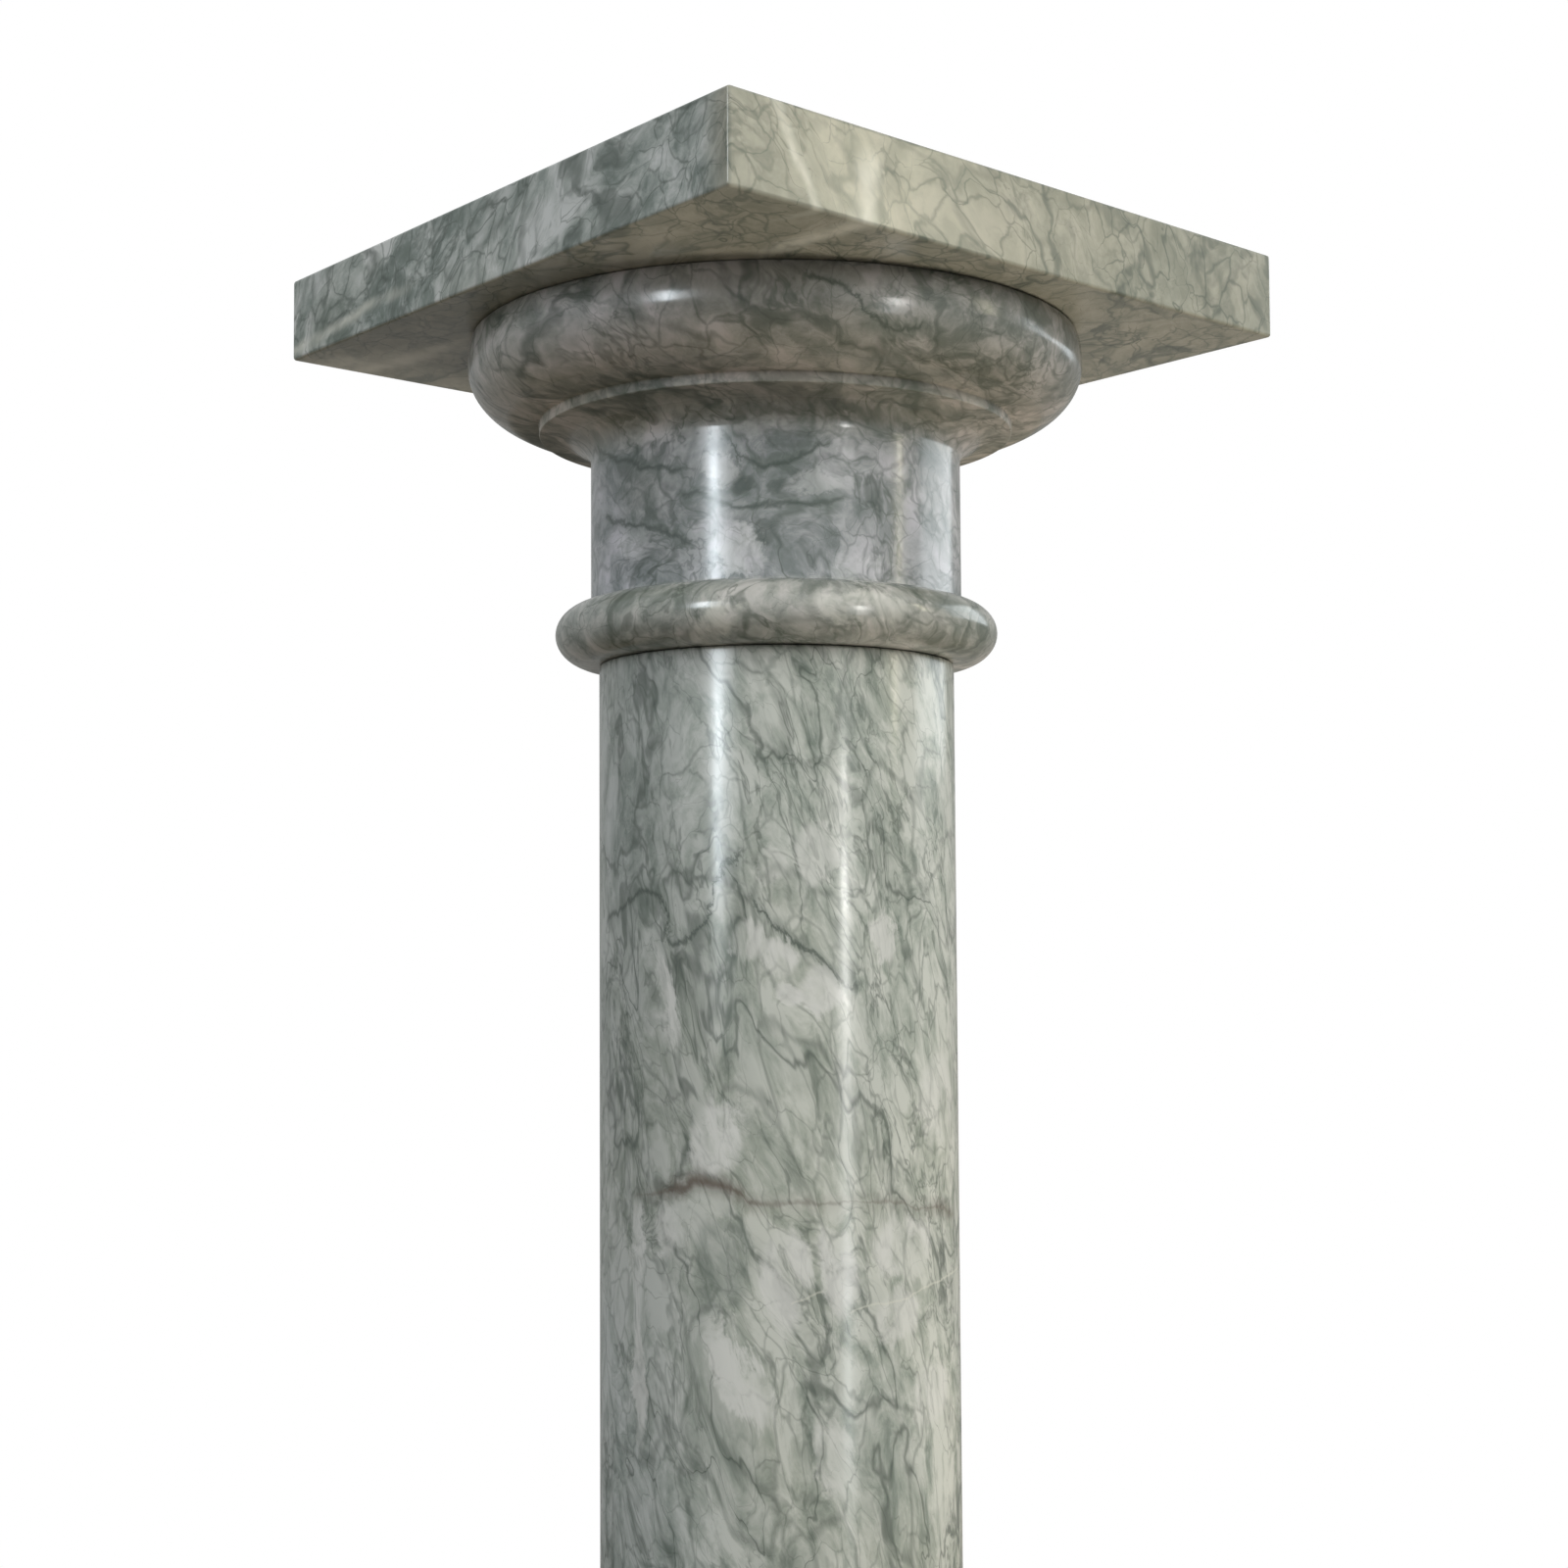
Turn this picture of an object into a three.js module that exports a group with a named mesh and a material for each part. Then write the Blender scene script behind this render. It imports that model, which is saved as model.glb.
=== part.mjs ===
// A polished marble pedestal column: square plinth, turned base, plain shaft, turned capital, square top slab.
// Millimetres, +Z up. The origin is the middle of the plinth's underside.
import * as THREE from 'three';

// Overall size
const TOTAL_HEIGHT = 1050;
const SLAB_SIDE = 305;
const SLAB_HEIGHT = 36;
const PLINTH_SIDE = 305;
const PLINTH_HEIGHT = 50;
const ARRIS_CHAMFER = 1.5;
const JOINT_GAP = 0.3;

// Shaft
const SHAFT_RADIUS = 77;
const SHAFT_END_EASE = 1;

// Capital, from its foot upwards
const NECK_RADIUS = 80.5;
const RING_REACH = 15.4;
const RING_HEIGHT = 25.8;
const NECK_LENGTH = 62.2;
const COVE_HEIGHT = 12;
const LIP_RADIUS = 103;
const LIP_HEIGHT = 4.5;
const ECHINUS_RADIUS = 133.7;
const ECHINUS_LOWER_HEIGHT = 23.8;
const ECHINUS_UPPER_HEIGHT = 11.7;
const ECHINUS_TOP_RADIUS = 131.5;

// Base, from its foot upwards
const TORUS_RADIUS = 131;
const TORUS_HEIGHT = 44;
const FILLET_RADIUS = 105;
const FILLET_HEIGHT = 6;
const SCOTIA_HEIGHT = 20;
const COLLAR_RADIUS = 81.5;
const COLLAR_HEIGHT = 10;

// Fineness of the turned pieces: sides round the axis, and half the steps along each moulded curve
const SIDES = 64;
const CURVE_DIVISIONS = 5;

const QUARTER_TURN = Math.PI / 2;
const CLOCKWISE = true;

const CAPITAL_HEIGHT =
  RING_HEIGHT + NECK_LENGTH + COVE_HEIGHT + LIP_HEIGHT + ECHINUS_LOWER_HEIGHT + ECHINUS_UPPER_HEIGHT;
const BASE_HEIGHT = TORUS_HEIGHT + FILLET_HEIGHT + SCOTIA_HEIGHT + COLLAR_HEIGHT;

// Levels of the pieces' undersides, with a thin bedding joint between neighbours
const BASE_LEVEL = PLINTH_HEIGHT + JOINT_GAP;
const SHAFT_LEVEL = BASE_LEVEL + BASE_HEIGHT + JOINT_GAP;
const SLAB_LEVEL = TOTAL_HEIGHT - SLAB_HEIGHT;
const CAPITAL_LEVEL = SLAB_LEVEL - JOINT_GAP - CAPITAL_HEIGHT;
const SHAFT_LENGTH = CAPITAL_LEVEL - JOINT_GAP - SHAFT_LEVEL;

function polishedMarble(color) {
  return new THREE.MeshStandardMaterial({ color, roughness: 0.15, metalness: 0 });
}

// A square slab with every arris taken off at 45 degrees, standing on z = 0
function squareSlab(side, height) {
  const half = side / 2;
  const corner = half - ARRIS_CHAMFER;
  const outline = new THREE.Shape();
  outline.moveTo(half, -corner);
  outline.lineTo(half, corner);
  outline.lineTo(corner, half);
  outline.lineTo(-corner, half);
  outline.lineTo(-half, corner);
  outline.lineTo(-half, -corner);
  outline.lineTo(-corner, -half);
  outline.lineTo(corner, -half);
  outline.closePath();
  const slab = new THREE.ExtrudeGeometry(outline, {
    depth: height - 2 * ARRIS_CHAMFER,
    bevelSize: ARRIS_CHAMFER,
    bevelThickness: ARRIS_CHAMFER,
    bevelOffset: -ARRIS_CHAMFER,
    bevelSegments: 1,
  });
  return slab.translate(0, 0, ARRIS_CHAMFER);
}

// A solid turned about the Z axis from a profile of (radius, height) that starts and ends on the axis
function turned(profile) {
  const solid = new THREE.LatheGeometry(profile.getPoints(CURVE_DIVISIONS), SIDES);
  return solid.rotateX(QUARTER_TURN);
}

// Plain cylinder with its two end arrises eased by a small chamfer
function shaftProfile() {
  const profile = new THREE.Path();
  profile.moveTo(0, 0);
  profile.lineTo(SHAFT_RADIUS - SHAFT_END_EASE, 0);
  profile.lineTo(SHAFT_RADIUS, SHAFT_END_EASE);
  profile.lineTo(SHAFT_RADIUS, SHAFT_LENGTH - SHAFT_END_EASE);
  profile.lineTo(SHAFT_RADIUS - SHAFT_END_EASE, SHAFT_LENGTH);
  profile.lineTo(0, SHAFT_LENGTH);
  return profile;
}

// Half-round ring, straight neck, cove, lip and bulging echinus
function capitalProfile() {
  const ringMiddle = RING_HEIGHT / 2;
  const coveFoot = RING_HEIGHT + NECK_LENGTH;
  const lipFoot = coveFoot + COVE_HEIGHT;
  const lipTop = lipFoot + LIP_HEIGHT;
  const widest = lipTop + ECHINUS_LOWER_HEIGHT;
  const coveReach = LIP_RADIUS - NECK_RADIUS;
  const bulgeReach = ECHINUS_RADIUS - LIP_RADIUS;
  const topReach = ECHINUS_RADIUS - ECHINUS_TOP_RADIUS;
  const profile = new THREE.Path();
  profile.moveTo(0, 0);
  profile.lineTo(NECK_RADIUS, 0);
  profile.absellipse(NECK_RADIUS, ringMiddle, RING_REACH, ringMiddle, -QUARTER_TURN, QUARTER_TURN);
  profile.lineTo(NECK_RADIUS, coveFoot);
  profile.absellipse(LIP_RADIUS, coveFoot, coveReach, COVE_HEIGHT, Math.PI, QUARTER_TURN, CLOCKWISE);
  profile.lineTo(LIP_RADIUS, lipTop);
  profile.absellipse(LIP_RADIUS, widest, bulgeReach, ECHINUS_LOWER_HEIGHT, -QUARTER_TURN, 0);
  profile.absellipse(ECHINUS_TOP_RADIUS, widest, topReach, ECHINUS_UPPER_HEIGHT, 0, QUARTER_TURN);
  profile.lineTo(0, CAPITAL_HEIGHT);
  return profile;
}

// Torus, fillet, scotia and a short collar under the shaft
function baseProfile() {
  const torusHalf = TORUS_HEIGHT / 2;
  const torusMiddle = TORUS_RADIUS - torusHalf;
  const filletTop = TORUS_HEIGHT + FILLET_HEIGHT;
  const collarFoot = filletTop + SCOTIA_HEIGHT;
  const scotiaReach = FILLET_RADIUS - COLLAR_RADIUS;
  const profile = new THREE.Path();
  profile.moveTo(0, 0);
  profile.lineTo(torusMiddle, 0);
  profile.absellipse(torusMiddle, torusHalf, torusHalf, torusHalf, -QUARTER_TURN, QUARTER_TURN);
  profile.lineTo(FILLET_RADIUS, TORUS_HEIGHT);
  profile.lineTo(FILLET_RADIUS, filletTop);
  profile.absellipse(FILLET_RADIUS, collarFoot, scotiaReach, SCOTIA_HEIGHT, -QUARTER_TURN, -Math.PI, CLOCKWISE);
  profile.lineTo(COLLAR_RADIUS, BASE_HEIGHT);
  profile.lineTo(0, BASE_HEIGHT);
  return profile;
}

function piece(name, geometry, level, color) {
  const mesh = new THREE.Mesh(geometry, polishedMarble(color));
  mesh.name = name;
  mesh.position.z = level;
  return mesh;
}

const column = new THREE.Group();
column.add(
  piece('plinth', squareSlab(PLINTH_SIDE, PLINTH_HEIGHT), 0, 0x9c9d8e),
  piece('base', turned(baseProfile()), BASE_LEVEL, 0x979a90),
  piece('shaft', turned(shaftProfile()), SHAFT_LEVEL, 0xa6aca1),
  piece('capital', turned(capitalProfile()), CAPITAL_LEVEL, 0x8f9089),
  piece('top_slab', squareSlab(SLAB_SIDE, SLAB_HEIGHT), SLAB_LEVEL, 0x9f9f8f),
);

export default column;
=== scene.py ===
import math
from collections import namedtuple

import bmesh
import bpy
from mathutils import Matrix, Vector


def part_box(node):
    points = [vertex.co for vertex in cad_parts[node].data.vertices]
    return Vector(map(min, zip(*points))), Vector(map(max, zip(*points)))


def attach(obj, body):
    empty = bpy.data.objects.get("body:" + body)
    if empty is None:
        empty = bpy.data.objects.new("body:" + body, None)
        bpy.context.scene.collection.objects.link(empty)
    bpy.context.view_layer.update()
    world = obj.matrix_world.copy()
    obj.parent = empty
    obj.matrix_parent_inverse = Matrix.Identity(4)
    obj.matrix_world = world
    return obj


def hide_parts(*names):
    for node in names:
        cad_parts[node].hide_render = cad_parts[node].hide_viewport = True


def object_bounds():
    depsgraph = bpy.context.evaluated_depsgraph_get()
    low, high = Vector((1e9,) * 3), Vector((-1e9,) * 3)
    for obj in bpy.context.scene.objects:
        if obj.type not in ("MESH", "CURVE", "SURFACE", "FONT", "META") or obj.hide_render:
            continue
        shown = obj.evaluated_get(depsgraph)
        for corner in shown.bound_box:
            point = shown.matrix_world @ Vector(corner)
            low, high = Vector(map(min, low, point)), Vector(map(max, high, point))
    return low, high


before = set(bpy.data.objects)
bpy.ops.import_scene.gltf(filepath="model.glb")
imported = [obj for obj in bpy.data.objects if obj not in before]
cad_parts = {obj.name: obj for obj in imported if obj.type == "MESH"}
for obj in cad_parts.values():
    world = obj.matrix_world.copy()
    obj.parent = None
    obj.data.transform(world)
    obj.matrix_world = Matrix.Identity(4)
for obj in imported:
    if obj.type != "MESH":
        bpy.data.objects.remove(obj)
cad_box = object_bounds()

# Sizes in metres. Heights and outer widths come from the frame, and the mouldings are those of the solids.
MM = 0.001
NECK_RADIUS = 80.5 * MM
RING_REACH = 15.4 * MM
RING_HEIGHT = 25.8 * MM
NECK_LENGTH = 62.2 * MM
COVE_HEIGHT = 12 * MM
LIP_RADIUS = 103 * MM
LIP_HEIGHT = 4.5 * MM
ECHINUS_LOWER_HEIGHT = 23.8 * MM
ECHINUS_TOP_RADIUS = 131.5 * MM
TORUS_HEIGHT = 44 * MM
FILLET_RADIUS = 105 * MM
FILLET_HEIGHT = 6 * MM
SCOTIA_HEIGHT = 20 * MM
COLLAR_RADIUS = 81.5 * MM
SLAB_EASE = 1.5 * MM
ARRIS_EASE = 0.7 * MM
SHAFT_END_EASE = 1.2 * MM

# Fineness of the meshes, with angles in degrees
TURNED_SIDES = 256
ARC_STEPS = 24
CORNER_STEPS = 4
SLAB_EASE_STEPS = 4
SHARP_CORNER = 35
SHARP_EDGE = 40
SHORTEST_STEP = 1e-7
WELD_DISTANCE = 0.005 * MM

# The camera, fitted to the photograph's 1600 pixel frame
PHOTO_SIZE = 1600
FOCAL_PIXELS = 2309
PRINCIPAL_ROW = 832
SENSOR_WIDTH = 36
CAMERA_DISTANCE = 0.9805
CAMERA_BELOW_TOP = 0.2975
CAMERA_AZIMUTH = 49.135
CAMERA_YAW = -0.167
CAMERA_PITCH = 3.294
CAMERA_ROLL = -0.327

# Light panels: degrees to the right of the camera, metres, watts. A mirrored panel only shows as a highlight
# in the polish, and the others only light the stone softly.
Panel = namedtuple("Panel", "name azimuth distance low high width power colour mirrored")
PANELS = (
    Panel("left_window", -37, 2.2, 1.05, 2.0, 0.16, 13, (0.86, 0.94, 1.0), True),
    Panel("left_haze", -35, 2.3, 1.08, 2.0, 0.55, 6, (0.86, 0.94, 1.0), True),
    Panel("right_gap", 42, 2.2, 0.70, 1.25, 0.11, 7, (1.0, 0.99, 0.96), True),
    Panel("low_gap", 42, 2.2, 0.0, 0.70, 0.16, 3, (0.94, 0.98, 1.0), True),
    Panel("side_gap", 80, 2.2, 1.25, 2.1, 0.06, 3.5, (1.0, 0.93, 0.70), True),
    Panel("back_window", 118, 2.2, 1.12, 2.2, 1.50, 14, (0.90, 0.97, 1.0), True),
    Panel("left_fill", -58, 2.4, 1.0, 2.4, 1.4, 14, (0.86, 0.95, 1.0), False),
    Panel("key_panel", 42, 2.4, 1.25, 3.2, 1.6, 53, (0.97, 0.985, 0.92), False),
    Panel("back_fill", -165, 2.4, 1.0, 2.6, 1.6, 26, (0.95, 0.98, 1.0), False),
)

# A bright patch of floor that shines up under the slab
PATCH_AZIMUTH = 112
PATCH_DISTANCE = 0.60
PATCH_HEIGHT = 20 * MM
PATCH_SIDE = 0.35
PATCH_POWER = 6
PATCH_COLOUR = (1.0, 0.92, 0.78)

# Floor and room
FLOOR_RADIUS = 1.75
FLOOR_SIDES = 96
FLOOR_FADE = (0.35 * FLOOR_RADIUS, 0.97 * FLOOR_RADIUS)
FLOOR_ROUGHNESS = 0.8
FLOOR_SEEN = (0.90, 0.90, 0.89)
FLOOR_BOUNCE = (0.15, 0.115, 0.075)
ROOM_BELOW = (0.05, 0.038, 0.025)
ROOM_ABOVE = (0.52, 0.545, 0.545)
BACKDROP_WHITE = (1, 1, 1)

# Colours of the marble
DEEP_GREEN = (0.15, 0.18, 0.155)
DUSK_GREEN = (0.22, 0.25, 0.225)
GREY_GREEN = (0.33, 0.355, 0.33)
PALE_GREY = (0.47, 0.485, 0.455)
MILK_WHITE = (0.69, 0.68, 0.66)
LUMP_WHITE = (0.80, 0.785, 0.765)
WARM_BEIGE = (0.50, 0.44, 0.33)
VEIN_GREEN = (0.085, 0.105, 0.09)
CRACK_BROWN = (0.13, 0.095, 0.075)
SCAR_WHITE = (0.80, 0.78, 0.70)
GROUND_STOPS = (
    (0.24, DEEP_GREEN), (0.36, DUSK_GREEN), (0.43, GREY_GREEN), (0.50, PALE_GREY), (0.62, MILK_WHITE),
)

# Tints of the ground on the side away from +X and on the +X side. They are partly the stone's own tone and
# partly painted light and shade: the slab lighter and cooler away from +X and warmer and darker on +X, the
# capital and base darker on +X, and the shaft darker and cooler away from +X.
SLAB_TINTS_AND_PAINTED_LIGHT = ((1.02, 1.04, 1.06), (0.82, 0.775, 0.69))
MAUVE_TINTS_AND_PAINTED_SHADE = ((1.05, 1.01, 1.08), (0.785, 0.765, 0.82))
SHAFT_TINTS_AND_PAINTED_SHADE = ((0.87, 0.91, 0.92), (0.97, 1.0, 0.965))

# The stretch of X in metres over which a turned piece's first tint, with its painted light and shade, runs
# into its second
MAUVE_RUN = (0.0, 0.12)
SHAFT_RUN = (0.0, 0.075)

# Tints over a stretch of height in metres. The capital's browner band above the neck is a painted reflection
# of a brown floor in the downward-facing echinus.
CAPITAL_STRETCH = (0.93, 1.01)
CAPITAL_TINTS_AND_PAINTED_REFLECTION = (
    (0.0, (0.94, 0.955, 1.0)), (0.25, (0.94, 0.955, 1.0)), (0.5, (1.0, 0.955, 0.87)),
    (0.7, (1.0, 0.955, 0.87)), (0.95, (0.975, 0.965, 0.96)),
)
# Painted shade: the shaft grows a little darker towards its top
SHAFT_STRETCH = (0.55, 0.85)
SHAFT_PAINTED_SHADE = ((0.0, (1.0, 1.0, 1.0)), (1.0, (0.92, 0.92, 0.92)))
RING_TINTS = ((0.0, (1.0, 1.0, 1.0)), (1.0, (1.12, 1.10, 0.99)))
RING_TINT_BLUR = 2 * MM

# How each piece's block of stone lies and looks: its offset, its turn in degrees, how far it is drawn out
# along its bedding, clasts to the metre, contrast, warm clouds, strength of the hair net, lightness and
# tints, the tints partly painted light and shade on its sides
Look = namedtuple("Look", "offset turn stretch grain contrast warmth net lift tints")
SLAB_LOOK = Look((8.4, 8.5, 3.1), (28, 40, 0), 1.8, 31, 0.8, 0.5, 0.5, -0.02, SLAB_TINTS_AND_PAINTED_LIGHT)
CAPITAL_LOOK = Look((1.4, 7.2, 1.2), (70, 20, 0), 1.25, 25, 0.68, 0.4, 0.4, -0.005, MAUVE_TINTS_AND_PAINTED_SHADE)
SHAFT_LOOK = Look((1.3, 2.2, 0.6), (15, -13.4, 0), 2.3, 44, 0.72, 0.4, 0.30, 0.062, SHAFT_TINTS_AND_PAINTED_SHADE)
BASE_LOOK = Look((4.7, 1.2, 2.3), (52, 30, 0), 1.25, 25, 0.72, 0.4, 0.4, -0.01, MAUVE_TINTS_AND_PAINTED_SHADE)
PLINTH_LOOK = Look((6.1, 3.4, 0.9), (30, 48, 20), 1.8, 29, 0.75, 0.5, 0.4, -0.01, SLAB_TINTS_AND_PAINTED_LIGHT)

# How much plainer a slab is on its +X side, how deep that side's look goes, and the skin of its underside
SLAB_PLAINNESS = 0.6
PLINTH_PLAINNESS = 0.5
PLAIN_SIDE_DEPTH = 18 * MM
PLAIN_SIDE_SKIN = 1 * MM
UNDERSIDE_DEPTH = 0.9 * MM
UNDERSIDE_SKIN = 0.3 * MM

# Folding of the bedding at three grades: folds to the metre, and how far they push in metres
FOLDS = (10, 0.05)
WAVES = (38, 0.016)
CRINKLES = (120, 0.005)
STRAND_STRETCH = 2.2
CLAST_SMOOTHNESS = 0.45

# Strengths of the veins, and how close the threads of a bundle lie
HALO_STRENGTH = 0.42
BUNDLE_STRENGTH = 0.24
THREAD_SPACING = 0.017
MAIN_STRENGTH = 0.60
SECOND_STRENGTH = 0.42
CELL_STRENGTH = 0.36
STRAND_STRENGTH = 0.5

# Polish: roughness, the stretches over which the lip's dull band fades, and the bump
GLOSSIEST = 0.16
LEAST_GLOSSY = 0.24
DULL_ROUGHNESS = 0.55
DULL_BLUR = (4 * MM, 1 * MM)
BUMP_STRENGTH = 0.03
BUMP_DISTANCE = 0.4 * MM

# White veins through the slab: a plane's point in metres and normal, half width in metres, strength, and the
# axis along which the vein comes in
WhiteVein = namedtuple("WhiteVein", "point normal half_width strength comes_in")
WHITE_VEINS = (
    WhiteVein((0.1525, -0.131, 1.05), (-0.2, 0.87, 0.48), 0.004, 0.85, ("X", 0.13, 0.15)),
    WhiteVein((0.1525, -0.088, 1.02), (-0.1, 1.0, -0.1), 0.009, 0.7, ("Z", 1.046, 1.032)),
    WhiteVein((-0.1525, -0.1525, 1.017), (-0.10, 0.2, 1.0), 0.004, 0.6, ("X", -0.04, -0.09)),
)
WHITE_VEIN_TEAR = 9 * MM

# Lines round the turned pieces, in degrees from the side that faces the camera and millimetres of height
CRACK = (
    (-51, 652), (-35, 654), (-21, 658), (-12, 655), (-5, 650.5), (6, 650.5),
    (18, 651), (35, 649), (45, 646), (59, 644), (71, 638),
)
SCARS = (
    ((3, 611), (9, 614), (13, 616)),
    ((20, 606), (30, 609), (36, 609), (50, 613), (78, 617)),
)
SHAFT_VEINS = (
    ((-71, 763), (-56, 769), (-44, 775), (-35, 763), (-31, 754),
     (-26, 757), (-22, 767), (-16, 783), (-9, 792)),
    ((-8, 774), (-1, 761), (9, 750), (19, 741), (27, 733)),
)
CAPITAL_VEINS = (
    ((-16, 960), (-12, 955), (-8, 947), (-1, 945), (9, 951), (17, 957)),
    ((-30, 936), (-19, 933), (-13, 930), (-4, 929), (12, 931), (20, 934)),
    ((-70, 964), (-63, 960), (-49, 953), (-35, 947), (-26, 945)),
    ((-64, 933), (-52, 928), (-33, 921), (-24, 914)),
    ((5, 1008), (12, 1002), (15, 996), (20, 991), (27, 992)),
)

# Where a line comes in at each end, as shares of its run
LINE_ENDS = (-0.02, 0.06)

# Degrees over which the crack's strongest part comes in from the left and from the right, and its right end
CRACK_CORE_LEFT = (-44, -30)
CRACK_CORE_RIGHT = (-2, -14)
CRACK_RIGHT_END = (46, 60)

# How far the lines and the masses are shaken about, in degrees and metres
SHAFT_SHAKE = 24
CAPITAL_SHAKE = 10
MASS_SHAKE = 18
MASS_SHAKE_HEIGHT = 32 * MM
VEIN_JITTER = 9 * MM
SCAR_JITTER = 2.7 * MM
CRACK_TEAR = 11 * MM

# Half widths and strengths of the lines
FRINGE_WIDTH = 8 * MM
FRINGE_STRENGTH = 0.40
DRAWN_VEIN_WIDTH = 2.2 * MM
DRAWN_VEIN_STRENGTH = 0.75
STAIN_WIDTH = 7 * MM
SEAM_WIDTHS = (0.5 * MM, 2.6 * MM)
SEAM_CORE_WIDTH = 1.6 * MM
SCAR_WIDTH = 0.8 * MM
SCAR_STRENGTH = 0.42

# Pale and dark masses: degrees and millimetres of their middle, half width, half height, slant in degrees to
# the millimetre, and strength
CAPITAL_PALE = (
    (-16, 946, 7, 9, 0, 0.6), (-10, 911, 9, 10, 0, 0.6), (12, 938, 9, 6, 0, 0.35), (25, 904, 9, 8, 0, 0.4),
    (-47, 921, 7, 10, 0, 0.45), (-15, 880, 6, 9, 0.6, 0.6), (20, 886, 14, 8, 0, 0.4),
)
CAPITAL_DARK = ((-47, 939, 12, 9, 0, 0.2), (2, 917, 4, 14, 0, 0.12), (4, 878, 6, 8, 0, 0.15))
SHAFT_PALE = (
    (-2, 785, 5, 8, 0, 0.8), (11, 788, 7, 13, 0, 0.6), (1, 749, 6, 8, 0, 0.9), (4, 735, 5, 6, 0, 0.9),
    (14, 736, 7, 10, 0, 0.9), (-9, 755, 5, 8, 0, 0.8), (33, 755, 5, 10, -0.2, 0.8),
    (-35, 733, 4.5, 20, -0.17, 1.0), (-19, 676, 9, 16, 0.1, 0.9), (-49, 627, 4.5, 24, 0, 0.8),
    (-36, 640, 5, 12, 0, 0.7), (1, 619, 7, 22, 0, 0.8), (17, 625, 7, 20, -0.1, 0.8),
    (41, 630, 13, 13, 0, 0.8), (-12, 582, 5, 22, -0.37, 0.8), (-49, 576, 3.5, 30, 0, 0.7),
    (53, 570, 10, 14, 0, 0.6), (39, 604, 9, 11, 0, 0.6), (14, 550, 6, 16, -0.2, 0.6),
    (60, 690, 12, 20, 0, 0.5),
)
SHAFT_DARK = ((-17, 627, 10, 22, 0, 0.65), (-45, 800, 16, 40, 0, 0.15), (-45, 700, 14, 40, 0, 0.15))

# How far the masses move the tone of the ground
PALE_LIFT = 0.07
DARK_LIFT = -0.10


def size_of(node):
    low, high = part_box(node)
    return high - low


def put_in_scene(name, data):
    thing = bpy.data.objects.new(name, data)
    bpy.context.scene.collection.objects.link(thing)
    return thing


# Nodes


class NodeMaker:
    """Adds nodes to a tree, and feeds their inputs with plain values or with other nodes' outputs."""

    def __init__(self, tree):
        self.tree = tree

    def feed(self, socket, value):
        if isinstance(value, bpy.types.NodeSocket):
            self.tree.links.new(value, socket)
        elif socket.type == "RGBA" and len(value) == 3:
            socket.default_value = (*value, 1)
        else:
            socket.default_value = value

    def node(self, kind, feeds=None, **settings):
        node = self.tree.nodes.new(kind)
        for key, value in settings.items():
            setattr(node, key, value)
        for key, value in (feeds or {}).items():
            self.feed(node.inputs[key], value)
        return node

    def maths(self, operation, first, second=0.0):
        return self.node("ShaderNodeMath", {0: first, 1: second}, operation=operation).outputs[0]

    def split(self, vector):
        return self.node("ShaderNodeSeparateXYZ", {0: vector}).outputs

    def fade(self, value, start, end, low=0.0, high=1.0):
        feeds = {"Value": value, "From Min": start, "From Max": end, "To Min": low, "To Max": high}
        return self.node("ShaderNodeMapRange", feeds, interpolation_type="SMOOTHSTEP").outputs["Result"]

    def ramp(self, value, stops):
        node = self.node("ShaderNodeValToRGB", {"Fac": value})
        elements = node.color_ramp.elements
        while len(elements) < len(stops):
            elements.new(0.5)
        for element, (position, colour) in zip(elements, stops):
            element.position = position
            element.color = (*colour, 1)
        return node.outputs["Color"]

    def mix(self, amount, under, over, blend="MIX"):
        feeds = {"Factor": amount, "A": under, "B": over}
        return self.node("ShaderNodeMix", feeds, data_type="RGBA", blend_type=blend).outputs["Result"]

    def camera_ray(self):
        return self.node("ShaderNodeLightPath").outputs["Is Camera Ray"]

    def mix_shaders(self, amount, under, over):
        return self.node("ShaderNodeMixShader", {0: amount, 1: under, 2: over}).outputs[0]


class Finish(NodeMaker):
    """The nodes of a new material."""

    def __init__(self, name):
        self.material = bpy.data.materials.new(name)
        self.material.use_nodes = True
        super().__init__(self.material.node_tree)
        self.surface = self.tree.nodes["Principled BSDF"]
        self.where = self.node("ShaderNodeTexCoord").outputs["Object"]


# Turned mouldings


def arc(centre, reach, rise, start, end):
    """Points (radius, height) of a stretch of an ellipse, from one angle to another, in degrees."""
    points = []
    for step in range(ARC_STEPS + 1):
        angle = math.radians(start + (end - start) * step / ARC_STEPS)
        points.append((centre[0] + reach * math.cos(angle), centre[1] + rise * math.sin(angle)))
    return points


def rounded_corner(start, corner, end):
    """Points of a curve that leaves the start towards the corner, and comes from there to the end."""
    points = []
    for step in range(CORNER_STEPS + 1):
        t = step / CORNER_STEPS
        points.append(tuple(start * (1 - t) ** 2 + corner * 2 * t * (1 - t) + end * t ** 2))
    return points


def eased(points, radius):
    """The same outline with every sharp corner off the axis rounded to the radius."""
    result = [points[0]]
    for before, corner, after in zip(points, points[1:], points[2:]):
        here = Vector(corner)
        back = Vector(before) - here
        ahead = Vector(after) - here
        if min(back.length, ahead.length) < SHORTEST_STEP:
            continue
        turn = 180 - math.degrees(back.angle(ahead))
        if turn < SHARP_CORNER:
            result.append(corner)
            continue
        reach = min(radius, back.length / 2, ahead.length / 2)
        start = here + back.normalized() * reach
        end = here + ahead.normalized() * reach
        result += rounded_corner(start, here, end)
    result.append(points[-1])
    return result


CapitalLevels = namedtuple("CapitalLevels", "foot ring_top neck_top lip_foot lip_top widest top")


def capital_levels():
    low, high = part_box("capital")
    ring_top = low.z + RING_HEIGHT
    neck_top = ring_top + NECK_LENGTH
    lip_foot = neck_top + COVE_HEIGHT
    lip_top = lip_foot + LIP_HEIGHT
    widest = lip_top + ECHINUS_LOWER_HEIGHT
    return CapitalLevels(low.z, ring_top, neck_top, lip_foot, lip_top, widest, high.z)


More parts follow.
